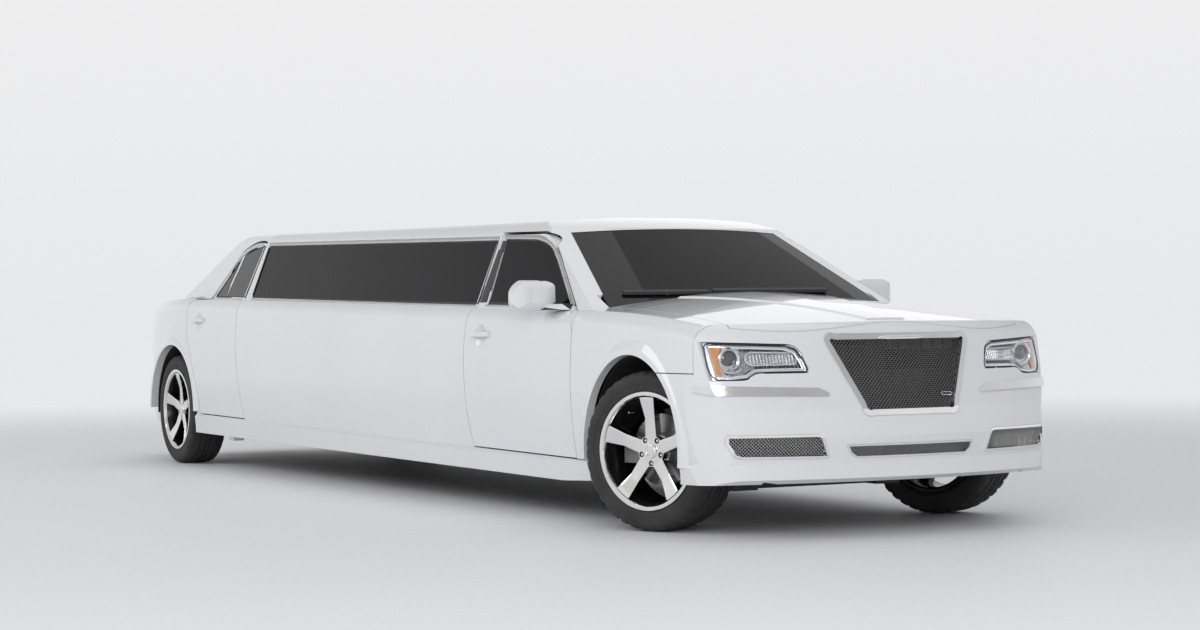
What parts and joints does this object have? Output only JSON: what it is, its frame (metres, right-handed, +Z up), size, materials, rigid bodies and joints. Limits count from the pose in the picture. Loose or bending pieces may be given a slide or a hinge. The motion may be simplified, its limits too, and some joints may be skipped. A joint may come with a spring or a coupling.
{
  "type": "stretch limousine",
  "caption": "Long-wheelbase sedan limousine with hollow cabin, opening side doors, hood and trunk lid, steered front wheels and free-rolling wheels.",
  "frame": {"origin": "on the ground, under the middle of the length and width", "axes": "+X forward, +Y to the car's left, +Z up"},
  "size_m": [8.3459, 2.208, 1.5353],
  "materials": {
    "paint": "gloss white paint",
    "glass": "black tinted glass",
    "chrome": "bright chrome",
    "lamp": "clear lamp lens",
    "red_lamp": "red lamp lens",
    "tyre": "black rubber",
    "wheel": "chrome",
    "black": "matt black plastic",
    "frame_metal": "black painted steel",
    "engine_metal": "cast",
    "floor": "dark underbody coat",
    "seat": "black leather",
    "exhaust_metal": "brushed"
  },
  "bodies": {
    "body": {"body_side_left": "paint", "body_side_right": "paint", "roof": "paint", "fender_left": "paint", "fender_right": "paint", "front_fascia": "paint", "rear_fascia": "paint", "parcel_shelf": "paint", "cowl": "black", "windshield": "glass", "rear_window": "glass", "side_windows": "glass", "headlights": "black", "taillights": "red_lamp", "main_grille": "chrome", "lower_grilles": "chrome", "bumper_strips": "chrome", "wheel_liners": "black", "front_frame": "frame_metal", "rear_suspension": "frame_metal", "powertrain": "engine_metal", "exhaust": "exhaust_metal", "seats": "seat", "dashboard": "black", "floor_pan": "floor", "wipers": "black", "headlight_lenses": "lamp"},
    "hood": {"hood": "paint"},
    "trunk_lid": {"trunk_lid": "paint"},
    "front_door_left": {"front_door_left": "paint", "front_door_glass_left": "glass", "mirror_left": "paint"},
    "front_door_right": {"front_door_right": "paint", "front_door_glass_right": "glass", "mirror_right": "paint"},
    "rear_door_left": {"rear_door_left": "paint", "rear_door_glass_left": "glass"},
    "rear_door_right": {"rear_door_right": "paint", "rear_door_glass_right": "glass"},
    "knuckle_left": {"knuckle_left": "frame_metal"},
    "knuckle_right": {"knuckle_right": "frame_metal"},
    "wheel_front_left": {"wheel_front_left": "wheel", "tyre_front_left": "tyre"},
    "wheel_front_right": {"wheel_front_right": "wheel", "tyre_front_right": "tyre"},
    "wheel_rear_left": {"wheel_rear_left": "wheel", "tyre_rear_left": "tyre"},
    "wheel_rear_right": {"wheel_rear_right": "wheel", "tyre_rear_right": "tyre"}
  },
  "joints": [
    {"name": "steer_left", "type": "hinge", "parent": "body", "child": "knuckle_left", "pos_m": [3.303, 0.735, 0.364], "axis": [0, 0, 1], "range_deg": [-54.5, 9.5]},
    {"name": "steer_right", "type": "hinge", "parent": "body", "child": "knuckle_right", "pos_m": [3.303, -0.735, 0.364], "axis": [0, 0, 1], "range_deg": [-54.5, 9.5]},
    {"name": "spin_front_left", "type": "hinge", "parent": "knuckle_left", "child": "wheel_front_left", "pos_m": [3.27621, 0.79967, 0.364], "axis": [-0.3827, 0.9239, 0], "continuous": true},
    {"name": "spin_front_right", "type": "hinge", "parent": "knuckle_right", "child": "wheel_front_right", "pos_m": [3.32979, -0.79967, 0.364], "axis": [-0.3827, 0.9239, 0], "continuous": true},
    {"name": "spin_rear_left", "type": "hinge", "parent": "body", "child": "wheel_rear_left", "pos_m": [-3.051, 0.805, 0.364], "axis": [0, 1, 0], "continuous": true},
    {"name": "spin_rear_right", "type": "hinge", "parent": "body", "child": "wheel_rear_right", "pos_m": [-3.051, -0.805, 0.364], "axis": [0, 1, 0], "continuous": true},
    {"name": "hood_hinge", "type": "hinge", "parent": "body", "child": "hood", "pos_m": [2.69, 0, 1.085], "axis": [0, -1, 0], "range_deg": [0, 45]},
    {"name": "trunk_hinge", "type": "hinge", "parent": "body", "child": "trunk_lid", "pos_m": [-3.545, 0, 1.145], "axis": [0, 1, 0], "range_deg": [0, 75]},
    {"name": "front_door_left_hinge", "type": "hinge", "parent": "body", "child": "front_door_left", "pos_m": [2.69, 0.942, 0.6], "axis": [0, 0, -1], "range_deg": [0, 65]},
    {"name": "front_door_right_hinge", "type": "hinge", "parent": "body", "child": "front_door_right", "pos_m": [2.69, -0.942, 0.6], "axis": [0, 0, 1], "range_deg": [0, 65]},
    {"name": "rear_door_left_hinge", "type": "hinge", "parent": "body", "child": "rear_door_left", "pos_m": [-1.86, 0.942, 0.6], "axis": [0, 0, -1], "range_deg": [0, 70]},
    {"name": "rear_door_right_hinge", "type": "hinge", "parent": "body", "child": "rear_door_right", "pos_m": [-1.86, -0.942, 0.6], "axis": [0, 0, 1], "range_deg": [0, 70]}
  ],
  "couplings": [
    {"joint": "steer_right", "follows": "steer_left", "ratio": 1}
  ]
}
